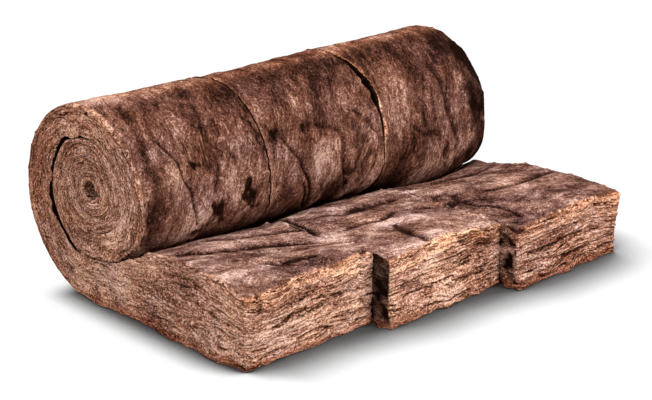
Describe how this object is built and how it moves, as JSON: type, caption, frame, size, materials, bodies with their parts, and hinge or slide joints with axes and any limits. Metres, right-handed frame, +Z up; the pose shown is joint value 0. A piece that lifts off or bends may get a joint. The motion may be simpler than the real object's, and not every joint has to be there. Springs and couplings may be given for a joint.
{
  "type": "insulation roll",
  "caption": "Brown mineral wool loft insulation, a thick blanket cut in three strips and rolled up, lying on its side with its free end laid out flat in front.",
  "frame": {"origin": "on the floor at the middle of the footprint", "axes": "+X along the coil's axis from the near end to the far end, -Y towards the free end, +Z up"},
  "size_m": [1.1408, 0.867, 0.458],
  "materials": {
    "wool": "matte"
  },
  "bodies": {
    "root": {"near_strip": "wool", "middle_strip": "wool", "far_strip": "wool"}
  },
  "joints": []
}
